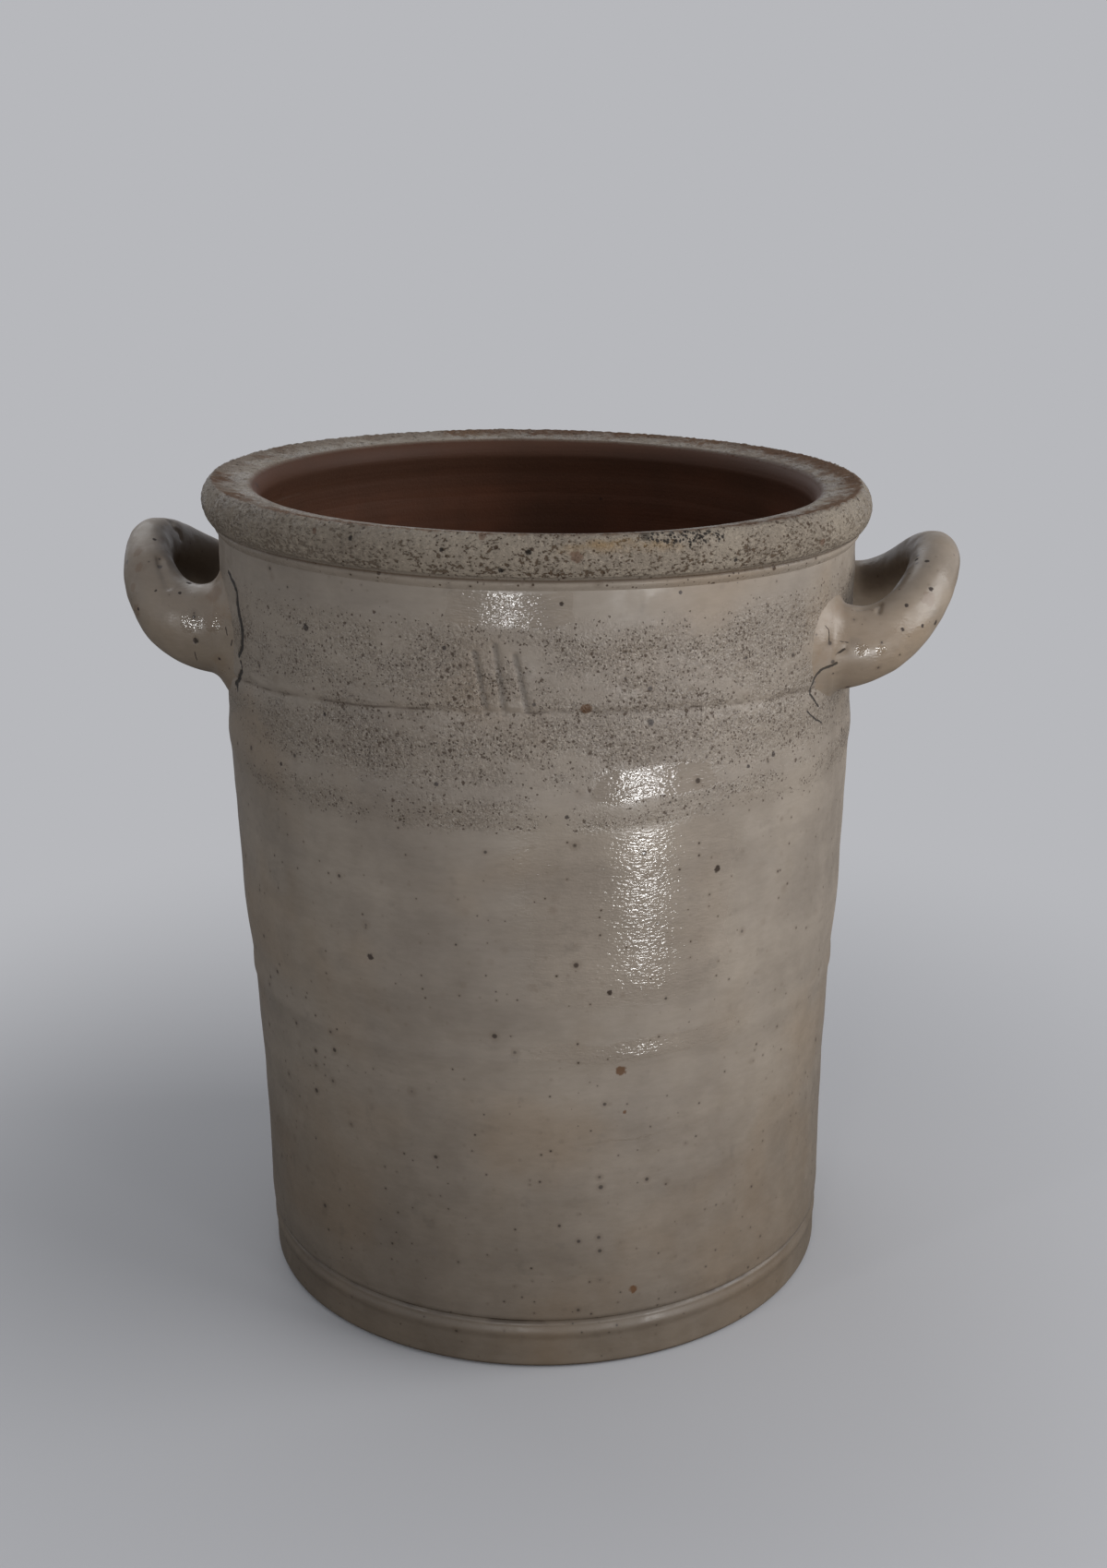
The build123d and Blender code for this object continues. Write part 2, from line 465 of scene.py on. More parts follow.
def tallyLines():
    lines = []
    for left, top, lean, length in tallyStrokes:
        line = [tallyWidth]
        for i in range(5):
            x = left + lean * i / 4
            y = -sqrt(wallSize["shoulderRadius"] ** 2 - x * x)
            line.append(inMm(x, y, top - length * i / 4))
        lines.append(line)
    return lines


def drawLines(place, lines, onPoint):
    # joined strokes through each line's points
    strokes = []
    for width, *points in lines:
        for start, end in zip(points, points[1:]):
            ends = {"From": onPoint(*start), "To": onPoint(*end)}
            strokes.append(grouped(strokeMask, place, **ends, Width=width * mm))
    return largest(*strokes)


def addSpots(flat, colour, spots, paint, strength):
    for bearing, level, size in spots:
        spot = grouped(spotMask, flat, Centre=onFlat(bearing, level), Radius=size * mm)
        colour = lay(colour, spot, paint, strength)
    return colour


def spotted(place, spots):
    masks = [grouped(spotMask, place, Centre=inMm(x, y, z), Radius=size * mm) for x, y, z, size in spots]
    return largest(*masks)


def gritMask(place, dry):
    # pits between the sand grains, closer together where the clay is drier
    crowded = fade(grain(place, 8 * mm, 3.0, 0.6), 0.3, 0.6, 0.25, 1.0)
    moved = bent(place, 900.0, 1.4 * mm, 1.0)
    pits = []
    for spacing, size, part in ((1.15 * mm, 0.42 * mm, 1.1), (2.6 * mm, 0.75 * mm, 0.5)):
        pits.append(grouped(freckles, moved, Spacing=spacing, Size=size, Share=dry * crowded * part))
    return largest(*pits)


def glazeColour(place, dry=0.0, grit=0.0):
    look = glazeLook
    colour = mixColour(grouped(cloudTone, place), look["dark"], look["pale"])
    warmth = fade(grain(place, 0.07, 3.0), 0.48, 0.7)
    colour = lay(colour, warmth, look["warm"], 0.45)
    smudge = fade(grain(place, 0.011, 3.0, 0.6), 0.6, 0.74)
    colour = lay(colour, smudge, look["smudge"], 0.22)
    streaks = fade(grain(place * (0.3, 0.3, 1.0), 1.8 * mm, 4.0, 0.65), 0.3, 0.7)
    colour = mixColour(1.0, colour, mixColour(streaks, look["streak"], white), "MULTIPLY")
    if isinstance(dry, Wire):
        sandy = dry * fade(grain(place, 3.5 * mm, 3.0, 0.6), 0.35, 0.65, 0.3, 1.0)
        colour = lay(colour, sandy, look["sand"], 0.42)
        crumbs = fade(grain(place, 1.1 * mm, 2.0, 0.6), 0.54, 0.62)
        colour = lay(colour, crumbs * dry, look["crumb"], 0.55)
        # painted shade between the sand grains
        grainShade = fade(grain(place, 0.9 * mm, 3.0, 0.7), 0.4, 0.5, 1.0, 0.0)
        colour = lay(colour, grainShade * dry, look["grimeAndShade"], 0.35)
        colour = lay(colour, grit, look["grimeAndShade"], 0.8)
    for spacing, size, share in ((4 * mm, 0.42 * mm, 0.45), (9 * mm, 0.95 * mm, 0.45)):
        halo = grouped(freckles, place, Spacing=spacing, Size=size * 2.2, Share=share)
        colour = lay(colour, halo, look["halo"], 0.35)
        spots = grouped(freckles, place, Spacing=spacing, Size=size, Share=share)
        colour = lay(colour, spots, look["iron"], 0.8)
    return colour


def glazeHeight(place, dimpled, dry=0.0, grit=0.0):
    # height of the glaze in metres
    look = glazeLook
    # both are taken from their middle height, so that a dimpled place has no rim
    peel = (grouped(orangePeel, place, Size=look["peelSize"]) - 0.75) * look["peelHeight"]
    dashes = (grain(place * (0.35, 0.35, 1.0), 0.9 * mm, 1.5, 0.5) - 0.5) * look["dashHeight"]
    height = (peel + dashes) * dimpled
    if isinstance(dry, Wire):
        height = height + (grain(place, 1.6 * mm, 3.0, 0.65) - 0.5) * dry * look["sandHeight"]
        height = height + grit * -look["pitDepth"]
    return height


def setGlaze(shader, place, colour, height, dry=0.0, dimpled=0.0, pits=0.0):
    look = glazeLook
    shader.inputs["IOR"].default_value = look["refraction"]
    worn = fade(grain(place, 0.012, 4.0, 0.65), 0.35, 0.65, -0.14, 0.08)
    wet = fade(dimpled, 0.0, 0.9) if isinstance(dimpled, Wire) else 0.0
    base = wet * (look["gloss"] - look["satin"]) + look["satin"]
    roughness = worn * (1.0 - wet) + (base + dry * -0.18)
    setShader(shader, colour, height, largest(roughness, pits * look["pitRoughness"]))


def seamGrime(place, colour, seam):
    broken = fade(grain(place, 0.02, 2.0), 0.45, 0.6, 0.1, 0.8)
    return lay(colour, seam * broken, glazeLook["grimeAndShade"], 0.8)


def dimpledMask(place):
    # where the wall's glaze is thick
    uneven = grain(place * (1, 1, 0.4), 0.016, 3.0) - 0.5
    height = axis(place, "Z") + uneven * 0.008
    dimpled = glazeLook["thinDimples"]
    for low, high, soft, strength, bearing, width in glossyBands:
        facing = towards(place, bearing) + uneven * (0.15 * sin(radians(width)))
        facing = fade(facing, cos(radians(width * 2.8)), cos(radians(width)))
        dimpled = largest(dimpled, bandMask(height, low, high, soft) * facing * strength)
    return dimpled


def makeWallGlaze():
    look = glazeLook
    material, shader, place = newMaterial("wallGlaze")
    height, flat = axis(place, "Z"), unrolled(place)
    dimpled = dimpledMask(place)
    # thick glaze covers the sand
    dry = dryMask(place) * fade(dimpled, 0.35, 0.95, 1.0, 0.0)
    grit = gritMask(place, dry)
    colour = glazeColour(place, dry, grit)
    # painted shade: the wall is darkened towards the foot
    low = mixColour(fade(height, 0.02, 0.2), look["lowPaintedShade"], white)
    colour = mixColour(1.0, colour, low, "MULTIPLY")
    colour = addSpots(flat, colour, wallSpots, look["iron"], 0.9)
    colour = addSpots(flat, colour, rustSpots, look["rust"], 0.9)
    line = fade(calc("ABSOLUTE", overLine(place)), 0.1 * mm, 0.9 * mm, 1.0, 0.0)
    broken = fade(grain(place, 0.012, 2.0), 0.4, 0.62, 0.05, 0.6)
    colour = lay(colour, line * broken, look["grimeAndShade"])
    colour = seamGrime(place, colour, fade(height, 0.0234, 0.0248, 1.0, 0.0))
    cracks = drawLines(flat, leftCrack + rightCrack, onFlat)
    colour = lay(colour, cracks, look["crack"], 0.92)
    marks = drawLines(place, tallyLines(), lambda *spot: spot)
    # the cuts are darkened with the smudge colour: painted shade inside the grooves
    colour = lay(colour, marks, look["smudge"], 0.5)
    relief = glazeHeight(place, dimpled, dry, grit) - cracks * look["crackDepth"]
    setGlaze(shader, place, colour, relief, dry, dimpled - marks, largest(grit, cracks))
    return material


def makeFootGlaze():
    look = glazeLook
    material, shader, place = newMaterial("footGlaze")
    height = axis(place, "Z")
    colour = seamGrime(place, glazeColour(place), fade(height, 0.0208, 0.0226))
    # painted shade: the foot is darkened by two multipliers
    for shade in ("lowPaintedShade", "footPaintedShade"):
        colour = mixColour(1.0, colour, look[shade], "MULTIPLY")
    # painted contact shadow: the bottom edge is darkened where the foot meets the floor
    contactShadow = fade(height, 0.4 * mm, 2.4 * mm, 1.0, 0.0)
    colour = lay(colour, contactShadow, look["grimeAndShade"], 0.8)
    inside = fade(fromAxis(place), 0.118, 0.12, 1.0, 0.0) * fade(height, 0.02, 0.021)
    colour = lay(colour, inside, slipLook["brown"])
    setGlaze(shader, place, colour, glazeHeight(place, look["footDimples"]))
    return material


# width in mm, then each point in mm
earCracks = (
    (0.45, (-142.7, -56.7, 298.2), (-142.5, -54.9, 294.0)),
    (0.5, (-126.9, -62.3, 310.4), (-126.2, -63.0, 307.5)),
    (0.6, (-123.6, -65.2, 305.5), (-124.3, -64.6, 303.3)),
    (0.8, (133.8, -64.0, 305.5), (130.7, -64.6, 304.0), (124.3, -65.8, 300.0), (122.0, -66.8, 297.3)),
    (0.3, (124.1, -64.4, 315.5), (125.3, -64.1, 313.8), (125.0, -65.4, 309.0)),
    (0.3, (125.0, -65.4, 309.0), (129.3, -64.3, 309.1), (135.0, -63.4, 308.0)),
    (0.8, (148.4, -48.0, 321.1), (147.3, -53.4, 318.8)),
)
# each spot's middle and radius in mm
earSpots = (
    *((-141.6, -58.3, 303.3, 1.4), (-149.8, -49.0, 322.1, 0.8), (-167.9, -21.6, 340.0, 1.0)),
    *((-147.7, -41.3, 324.8, 1.3), (-131.3, -59.1, 295.8, 0.7), (-170.3, -44.2, 313.7, 0.9)),
    *((-161.0, -46.9, 322.5, 0.7), (164.4, -23.6, 335.1, 1.0), (168.4, -28.3, 335.4, 1.0)),
    *((159.0, -50.0, 321.1, 1.0), (157.4, -56.0, 312.3, 0.9), (165.9, -50.4, 312.6, 0.9)),
    *((169.4, -41.3, 326.3, 1.1), (128.8, -63.5, 295.4, 1.0), (171.8, -43.4, 312.3, 1.2)),
)
earStains = (
    *((-133.4, -53.4, 323.4, 4.6), (-173.1, -29.8, 336.0, 2.8), (-171.0, -36.9, 330.5, 2.5)),
    *((-173.6, -39.3, 322.0, 2.2), (-171.6, -42.8, 312.9, 3.2), (168.0, -44.0, 322.0, 3.4)),
)
# where an ear is dimpled and wet looking
earShine = (
    *((-143.5, -56.8, 312.4, 6.0), (-133.0, -59.4, 313.2, 6.0)),
    *((140.5, -62.6, 305.0, 3.2), (148.5, -60.6, 304.4, 2.6)),
)


def makeEarGlaze():
    look = glazeLook
    material, shader, place = newMaterial("earGlaze")
    colour = lay(glazeColour(place), spotted(place, earStains), look["earStain"], 0.5)
    near = fromAxis(place)
    warmed = fade(grain(place, 0.014, 3.0), 0.48, 0.66) * fade(near, 0.142, 0.158, 1.0, 0.0)
    colour = lay(colour, warmed, look["earWarm"], 0.4)
    colour = mixColour(1.0, colour, look["earTint"], "MULTIPLY")
    # painted shade: the side that is turned to the wall is darkened
    outward = vecCalc("NORMALIZE", place * (1, 1, 0))
    facing = vecCalc("DOT_PRODUCT", made(place.tree, "ShaderNodeNewGeometry", output="Normal"), outward)
    colour = lay(colour, fade(facing, -0.85, -0.3, 1.0, 0.0), look["grimeAndShade"], 0.7)
    specks = spotted(place, earSpots)
    colour = lay(colour, specks, look["iron"], 0.95)
    # the crack in the wall runs on over the drawn-out root
    beside = drawLines(unrolled(place), rightCrack, onFlat) * fade(near, 0.145, 0.149, 1.0, 0.0)
    cracks = largest(drawLines(place, earCracks, inMm), beside)
    colour = lay(colour, cracks, look["crack"], 0.85)
    patches = fade(grain(place, 0.016, 2.0), 0.46, 0.6, 0.12, 0.4)
    patches = largest(patches, spotted(place, earShine))
    relief = glazeHeight(place, patches) - cracks * look["earCrackDepth"]
    setGlaze(shader, place, colour, relief, dimpled=patches, pits=largest(specks, cracks))
    return material


# thin dry glaze on the collar, bare clay on its top, brown slip inside
collarLook = {
    "pale": srgb(157, 145, 130),
    "dark": srgb(126, 114, 101),
    "lump": srgb(176, 163, 146),
    # the hollows' dark brown, also used for the painted shadow under the collar's lower edge
    "hollow": srgb(78, 58, 40),
    "pit": srgb(60, 42, 27),
    "bare": srgb(90, 62, 43),
    "bareLight": srgb(112, 84, 62),
    "ochre": srgb(150, 120, 76),
    "rust": srgb(98, 62, 42),
    "soot": srgb(34, 28, 24),
    "white": srgb(150, 142, 132),
    "pittedBearing": -71,  # the side with most pits and a flush of ash
    "glazedBearing": 150,  # the side where glaze ran over the top
    "faceRadius": 143.0,  # in mm, for the soot outside
    "lipRadius": 123.5,  # and for the chip inside
    "specular": 0.2,
}
slipLook = {
    "red": srgb(110, 68, 48),
    "brown": srgb(82, 53, 38),
    "dusk": srgb(74, 50, 37),
    "speck": srgb(30, 20, 17),
    "roughness": 0.62,
    "specular": 0.25,
}
# bearing in degrees, height in mm, radius in mm of the patch
sootPatches = (
    *((-66.0, 364.0, 3.2), (-63.6, 362.8, 4.2), (-60.6, 362.6, 4.4)),
    *((-57.6, 363.2, 4.0), (-55.2, 361.8, 2.8)),
)
sootSmear = (-67.4, 365.2, 2.6)
lipChip = (19.2, 348.5, 3.2)
sootSpots = (
    *((-84.5, 368.0, 0.8), (-85.1, 360.6, 1.2), (-89.2, 353.7, 1.1)),
    *((-52.5, 352.5, 0.9), (-98.0, 361.0, 0.9), (-113.0, 363.0, 1.0)),
)
collarRust = ((-78.1, 358.5, 2.4), (-32.7, 352.7, 1.6), (-92.0, 366.0, 1.5), (-120.0, 364.0, 1.2))


def slipColour(place):
    # redder and darker further down
    look = slipLook
    colour = mixColour(grouped(cloudTone, place), look["brown"], look["red"])
    streaks = grain(place * (0.1, 0.1, 1.0), 0.012, 3.0, 0.6)
    top = fade(axis(place, "Z") + streaks * 0.03, 0.335, 0.375)
    colour = lay(colour, top, look["dusk"], 0.75)
    specks = grouped(freckles, place, Spacing=16 * mm, Size=1.5 * mm, Share=0.4)
    return lay(colour, specks, look["speck"], 0.75)


def patchMask(place, patch, radius):
    bearing, level, size = patch
    return grouped(spotMask, place, Centre=onWall(bearing, level, radius), Radius=size * mm)


def makeCollarClay():
    look = collarLook
    material, shader, place = newMaterial("collarClay")
    away = fromAxis(place)
    overSeat = axis(place, "Z") + axis(place, "X") * sagSlope
    tone = grouped(cloudTone, place)
    colour = mixColour(tone, look["dark"], look["pale"])
    coarse = grain(place * (0.7, 0.7, 1.1), 1.4 * mm, 4.0, 0.65)
    colour = lay(colour, fade(coarse, 0.54, 0.66), look["lump"], 0.5)
    crowded = fade(grain(place, 9 * mm, 2.0), 0.4, 0.6, -0.03, 0.035)
    crowded = crowded + fade(overSeat, 0.352, 0.366, 0.03, -0.03)
    hollows = fade(coarse - crowded, 0.38, 0.44, 1.0, 0.0)
    facing = towards(place, look["pittedBearing"], 0.145)
    pitted = fade(facing, 0.55, 0.97, 0.4, 1.0)
    colour = lay(colour, hollows * pitted, look["hollow"], 0.8)
    beneath = fade(overSeat, 0.3495, 0.3515, 1.0, 0.0)
    colour = lay(colour, beneath, glazeColour(place))
    # painted shadow: a dark line under the collar's overhanging lower edge
    undercutShadow = bandMask(overSeat, 0.3488, 0.3492, 0.9 * mm)
    colour = lay(colour, undercutShadow, look["hollow"], 0.7)
    # a warm flush of ash near the top edge
    lumps = grain(place, 6 * mm, 3.0, 0.6)
    flush = fade(facing, 0.98, 0.998) * fade(overSeat, 0.3585, 0.365) * fade(lumps, 0.35, 0.6, 0.3, 1.0)
    colour = lay(colour, flush, look["ochre"], 0.8)
    # the top is bare clay, paler where glaze ran over it
    edge = (lumps - 0.5) * (4 * mm)
    top = fade(overSeat + edge, 0.3642, 0.3662) * fade(away + edge, 0.1405, 0.1425, 1.0, 0.0)
    bare = mixColour(tone, look["bare"], look["bareLight"])
    glazed = grain(place, 0.03, 3.0, 0.6) + towards(place, look["glazedBearing"], 0.14) * 0.2
    bare = lay(bare, fade(glazed, 0.54, 0.7), look["white"], 0.6)
    bare = lay(bare, hollows, look["hollow"], 0.35)
    colour = lay(colour, top, bare, 0.9)
    # soot and rust
    flat = unrolled(place)
    colour = addSpots(flat, colour, sootSpots, look["soot"], 0.9)
    specks = grouped(freckles, place, Spacing=1.2 * mm, Size=0.75 * mm, Share=0.9)
    for patch in sootPatches:
        colour = lay(colour, patchMask(place, patch, look["faceRadius"]) * specks, look["soot"], 0.95)
    colour = lay(colour, patchMask(place, sootSmear, look["faceRadius"]), look["soot"], 0.6)
    colour = addSpots(flat, colour, collarRust, look["rust"], 0.6)
    for spacing, size, share in ((1.9 * mm, 0.42 * mm, 0.6), (6 * mm, 0.85 * mm, 0.6)):
        pits = grouped(freckles, place, Spacing=spacing, Size=size, Share=pitted * share)
        colour = lay(colour, pits, look["pit"], 0.85)
    # the slip comes up to where the lip turns over
    inner = fade(away + edge * 0.2, 0.1235, 0.1275, 1.0, 0.0)
    colour = lay(colour, inner, slipColour(place))
    colour = lay(colour, patchMask(place, lipChip, look["lipRadius"]), look["soot"], 0.8)
    relief = grouped(orangePeel, place, Size=1.1 * mm) * (0.25 * mm) + coarse * (1.3 * mm)
    relief = relief - hollows * (0.2 * mm)
    relief = relief * fade(inner, 0.0, 1.0, 1.0, 0.2) * fade(beneath, 0.0, 1.0, 1.0, 0.1)
    worn = fade(grain(place, 0.012, 3.0, 0.6), 0.42, 0.6, 0.24, 0.55)
    roughness = largest(worn, largest(top, hollows) * 0.85, inner * slipLook["roughness"])
    setShader(shader, colour, relief, roughness)
    shader.inputs["Specular IOR Level"].default_value = look["specular"]
    return material


def makeBrownSlip():
    material, shader, place = newMaterial("brownSlip")
    sand = grain(place, 1.4 * mm, 3.0, 0.6) * (0.12 * mm)
    relief = grouped(throwRings, place, Pitch=2.6 * mm) * (0.35 * mm) + sand
    setShader(shader, slipColour(place), relief, slipLook["roughness"])
    shader.inputs["Specular IOR Level"].default_value = slipLook["specular"]
    return material


wallGlaze = makeWallGlaze()
footGlaze = makeFootGlaze()
earGlaze = makeEarGlaze()
collarClay = makeCollarClay()
brownSlip = makeBrownSlip()
print("finishes made")

# thrown pieces: a profile turned round the axis, with the marks of throwing and firing
thrownInputs = {
    "Profile": "NodeSocketGeometry",
    "Radius": 0.14,
    "Columns": 640,
    "Sway": 0.4 * mm,
    "Ridge Depth": 0.0,
    "Ridge Height": 5 * mm,
    "Ridge Low": 0.25,
    "Ridge High": 0.34,
    "Ridge Fade": 10 * mm,
    "Scab Depth": 0.0,
    "Scab Size": 3 * mm,
    "Dry All Over": 0.0,
    "Dry Low": 0.1,
    "Smooth Within": 0.0,
    "Line Depth": 0.0,
    "Outset": 0.0,
    "Marks": "NodeSocketObject",
    "Mark Width": 1.8 * mm,
    "Mark Depth": 0.0,
    "Sag": 0.0,
    "Sag From": 0.3,
    "Sag To": 0.344,
    "Seed": 3.0,
    "Finish": "NodeSocketMaterial",
}


def thrownNodes(given):
    tree = given["Profile"].tree
    values = {"Resolution": given["Columns"], "Radius": given["Radius"]}
    circle = made(tree, "GeometryNodeCurvePrimitiveCircle", values)
    upright = made(tree, "GeometryNodeSetCurveNormal", {"Curve": circle}, mode="Z_UP")
    values = {"Curve": upright, "Profile Curve": given["Profile"]}
    swept = made(tree, "GeometryNodeCurveToMesh", values)
    welded = made(tree, "GeometryNodeMergeByDistance", {"Geometry": swept, "Distance": 0.01 * mm})
    place = made(tree, "GeometryNodeInputPosition")
    outward = made(tree, "GeometryNodeInputNormal")
    seeded = place + vecCalc("SCALE", (0.37, 0.19, 0.53), given["Seed"])
    height = axis(place, "Z")

    # hands are never quite even: a slow sway in and out
    sway = grain(seeded, 0.11, 1.0) * given["Sway"]

    # ridges that run round the wall, stronger where the clay was dry
    band = bandMask(height, given["Ridge Low"], given["Ridge High"], given["Ridge Fade"])
    dry = largest(dryMask(place), given["Dry All Over"])
    ridges = grain(seeded * (0.07, 0.07, 1.0), given["Ridge Height"], 2.0, 0.55)
    ridges = ridges * (dry * 0.5 + 0.5) * given["Ridge Depth"] * band

    # small lumps and torn places where the clay was dry
    scabs = fade(grain(seeded, given["Scab Size"], 3.0, 0.6), 0.35, 0.65) * given["Scab Depth"] * dry
    above = fade(height, given["Dry Low"] - 6 * mm, given["Dry Low"])
    beyond = fade(fromAxis(place) - given["Smooth Within"], 0.0, 6 * mm)
    scabs = scabs * (above * beyond)

    # the line where two lifts of clay meet: a thin groove, drawn in below
    over = overLine(place)
    groove = fade(calc("ABSOLUTE", over), 0.2 * mm, 1.4 * mm, 1.0, 0.0)
    under = fade(over, -6 * mm, 0.0) * calc("LESS_THAN", over, 0.0)
    line = (groove + under * 0.6) * given["Line Depth"]

    # strokes cut with a stick
    marks = {"Object": given["Marks"]}
    marks = made(tree, "GeometryNodeObjectInfo", marks, "Geometry", transform_space="ORIGINAL")
    edges = {"Geometry": made(tree, "GeometryNodeCurveToMesh", {"Curve": marks})}
    near = made(tree, "GeometryNodeProximity", edges, "Distance", target_element="EDGES")
    cut = fade(near, given["Mark Width"] * 0.25, given["Mark Width"], 1.0, 0.0) * given["Mark Depth"]

    depth = sway + ridges + (scabs + line) + cut
    shift = outward * (given["Outset"] - depth)

    # the top follows the sagging mouth
    drop = axis(place, "X") * given["Sag"] * fade(height, given["Sag From"], given["Sag To"])
    shift = shift + made(tree, "ShaderNodeCombineXYZ", {"Z": drop * -1.0})
    moved = made(tree, "GeometryNodeSetPosition", {"Geometry": welded, "Offset": shift})
    real = made(tree, "GeometryNodeRealizeInstances", {"Geometry": moved})
    smooth = made(tree, "GeometryNodeSetShadeSmooth", {"Geometry": real})
    return made(tree, "GeometryNodeSetMaterial", {"Geometry": smooth, "Material": given["Finish"]})


thrownForm = makeGroup(
    "thrownForm", "GeometryNodeTree", thrownInputs, "Piece", "NodeSocketGeometry", thrownNodes
)


def linked(name, data):
    item = bpy.data.objects.new(name, data)
    scene.collection.objects.link(item)
    return item


def lineCurve(name, runs, cyclic=False):
    data = bpy.data.curves.new(name, "CURVE")
    data.dimensions = "3D"
    for points in runs:
        spline = data.splines.new("POLY")
        spline.points.add(len(points) - 1)
        for spot, place in zip(spline.points, points):
            spot.co = (*place, 1.0)
        spline.use_cyclic_u = cyclic
    return linked(name, data)


def throwPiece(name, outline, values, closed=True):
    # outline holds each radius and height in mm, from the inside over the top and down the outside
    profile = [((r - values["Radius"]) * mm, -z * mm, 0.0) for r, z in outline]
    values = {**values, "Radius": values["Radius"] * mm}
    source = lineCurve(name + "Profile", [profile], closed)
    modifier = source.modifiers.new("thrownForm", "NODES")
    modifier.node_group = thrownForm
    for item in thrownForm.interface.items_tree:
        if item.in_out == "INPUT" and item.name in values:
            modifier[item.identifier] = values[item.name]
    source.data.update_tag()
    bpy.context.view_layer.update()
    graph = bpy.context.evaluated_depsgraph_get()
    mesh = bpy.data.meshes.new_from_object(source.evaluated_get(graph))
    source.modifiers.remove(modifier)
    bpy.data.objects.remove(source)
    mesh.name = name
    return linked(name, mesh)


def divided(points, step):
    # more points on a line of straight runs, none further apart than about the step
    result = [points[0]]
    for (r0, z0), (r1, z1) in zip(points, points[1:]):
        count = max(1, round(sqrt((r1 - r0) ** 2 + (z1 - z0) ** 2) / step))
        for i in range(1, count + 1):
            result.append((r0 + (r1 - r0) * i / count, z0 + (z1 - z0) * i / count))
    return result


def onward(outline, end, step):
    # the outline, run on to one more point
    return outline + divided([outline[-1], end], step)[1:]


def longS(start, end, count):
    # leaves both ends upright, as the CAD wall does
    result = []
    for i in range(count + 1):
        t = i / count
        share = 2 * t * t if t < 0.5 else 1 - 2 * (1 - t) ** 2
        result.append((start[0] + (end[0] - start[0]) * share, start[1] + (end[1] - start[1]) * t))
    return result


def quarter(widest, end, count):
    # an arc that leaves the widest point upright and ends at the other point
    across = widest[0] - end[0]
    up = end[1] - widest[1]
    radius = (across**2 + up**2) / (2 * across)
    result = []
    for i in range(count + 1):
        rise = up * i / count
        result.append((widest[0] - radius + sqrt(max(radius**2 - rise**2, 0)), widest[1] + rise))
    return result


# height, half width and proudness in mm of the swells that the fingers left
wallWaves = (
    *((329.5, 10.0, 0.35), (310.0, 8.0, 0.12), (284.0, 9.0, 0.3), (258.5, 11.0, 0.85)),
    *((226.0, 9.0, -0.2), (178.0, 26.0, 0.7), (147.5, 5.0, 0.7), (118.0, 20.0, 0.3)),
    *((84.0, 14.0, 0.25), (24.0, 9.0, -0.4)),
)


def waved(points, waves):
    result = []
    for radius, height in points:
        for middle, half, proud in waves:
            away = abs(height - middle) / half
            if away < 1:
                radius += proud * 0.5 * (1 + cos(pi * away))
        result.append((radius, height))
    return result


def makeMarks():
    runs = [points for width, *points in tallyLines()]
    for width, *points in leftCrack:
        runs.append([onWall(bearing, height, wallPlan["markRadius"]) for bearing, height in points])
    return lineCurve("cutMarks", runs)


wallPlan = {
    "middle": 127.5,  # radius of the wall's unseen middle, in mm
    "top": 348.0,
    "markRadius": 139.6,  # of the cracks' middle lines
    # height in mm, and how far apart the points below it are
    "lowerSteps": ((34.0, 1.6), (wallSize["lowerHeight"], 4.0)),
    "upperSteps": ((288.0, 2.2), (326.0, 1.3), (348.0, 1.8)),
    "form": {
        "Radius": wallSize["shoulderRadius"],
        "Columns": 768,
        "Sway": 0.8 * mm,
        "Ridge Depth": 0.5 * mm,
        "Ridge Height": 5 * mm,
        "Ridge Low": 0.04,
        "Ridge High": 0.345,
        "Scab Depth": 0.3 * mm,
        "Scab Size": 3.4 * mm,
        "Line Depth": 0.6 * mm,
        "Outset": 0.65 * mm,
        "Mark Width": 1.6 * mm,
        "Mark Depth": 0.8 * mm,
        "Sag": sagSlope,
        "Finish": wallGlaze,
    },
}


def makeWallOutside(marks):
    s = wallSize
    shoulder = s["shoulderRadius"]
    line = divided([(s["seamRadius"], s["seamHeight"]), (s["lipRadius"], s["lipHeight"])], 1.0)
    for height, step in wallPlan["lowerSteps"]:
        line = onward(line, (s["lipRadius"], height), step)
    line += longS(line[-1], (shoulder, s["shoulderHeight"]), 63)[1:]
    for height, step in wallPlan["upperSteps"]:
        line = onward(line, (shoulder, height), step)
    outside = waved(line, wallWaves)
    outside.reverse()
    middle = wallPlan["middle"]
    ring = [(middle, s["seamHeight"]), (middle, wallPlan["top"])] + outside
    return throwPiece("wallOutside", ring, {**wallPlan["form"], "Marks": marks})


insidePlan = {
    "middle": 126.9,
    "form": {
        "Radius": wallSize["insideAtShoulder"],
        "Columns": 480,
        "Sway": 0.4 * mm,
        "Ridge Depth": 1.2 * mm,
        "Ridge Height": 9 * mm,
        "Ridge Low": 0.05,
        "Ridge High": 0.325,
        "Outset": 0.4 * mm,
        "Sag": sagSlope,
        "Seed": 5.0,
        "Finish": brownSlip,
    },
}


def makeWallInside():
    s = wallSize
    floor, shoulder, cove = s["insideAtFloor"], s["insideAtShoulder"], s["coveRadius"]
    toe = s["seamHeight"] + s["coveToe"]
    inside = [(floor - cove, s["seamHeight"])]
    for i in range(9):
        turn = pi / 2 * i / 8
        inside.append((floor - cove * (1 - sin(turn)), toe + cove * (1 - cos(turn))))
    inside += longS((floor, toe + cove), (shoulder, s["shoulderHeight"]), 60)[1:]
    inside = onward(inside, (shoulder, s["seatHeight"]), 3.0)
    middle = insidePlan["middle"]
    ring = inside + [(middle, s["seatHeight"]), (middle, s["seamHeight"])]
    return throwPiece("wallInside", ring, insidePlan["form"])


